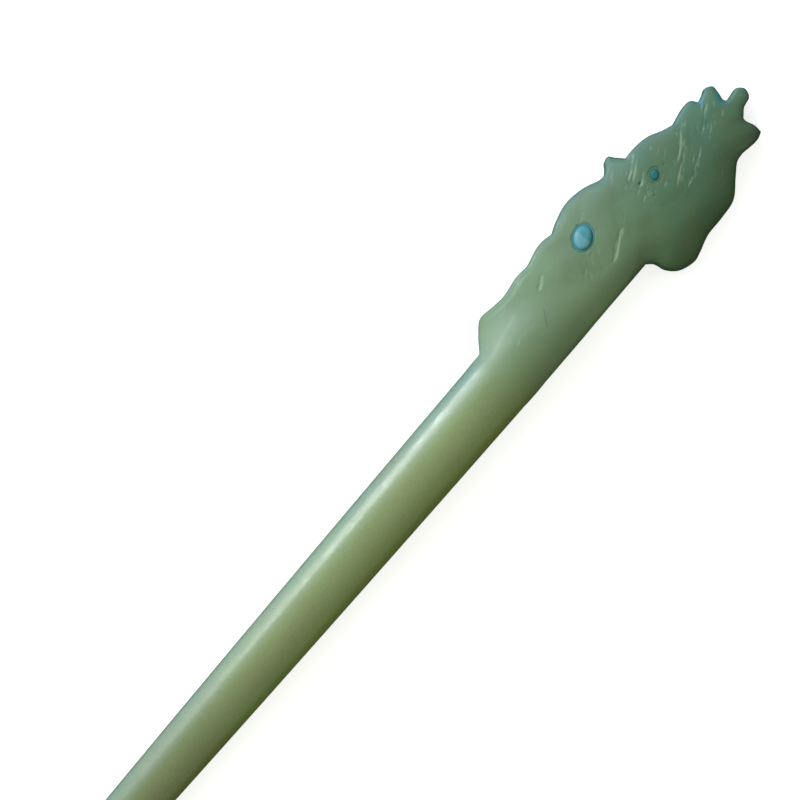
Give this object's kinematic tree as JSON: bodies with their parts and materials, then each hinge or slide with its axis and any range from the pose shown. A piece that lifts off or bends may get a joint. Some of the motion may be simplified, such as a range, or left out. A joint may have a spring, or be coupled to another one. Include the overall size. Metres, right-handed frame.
{
  "type": "carved stone hair pin",
  "caption": "Slender tapered green stone hair pin with a flat-backed carved head, scalloped crest, pronged tip and small oval inlaid cabochons.",
  "frame": {"origin": "on the flat back, on the shaft's centre line, where the shaft meets the carved head", "axes": "+X along the shaft towards the carved head, +Y towards the head's crested side, +Z out of the front"},
  "size_m": [0.1801, 0.0191, 0.0073],
  "materials": {
    "jade": "gloss",
    "pale_blue_stone": "gloss",
    "teal_stone": "gloss",
    "cement": "satin"
  },
  "bodies": {
    "root": {"pin_body": "jade", "large_cabochon": "pale_blue_stone", "large_cabochon_cement": "cement", "small_cabochon": "teal_stone", "small_cabochon_cement": "cement"}
  },
  "joints": []
}
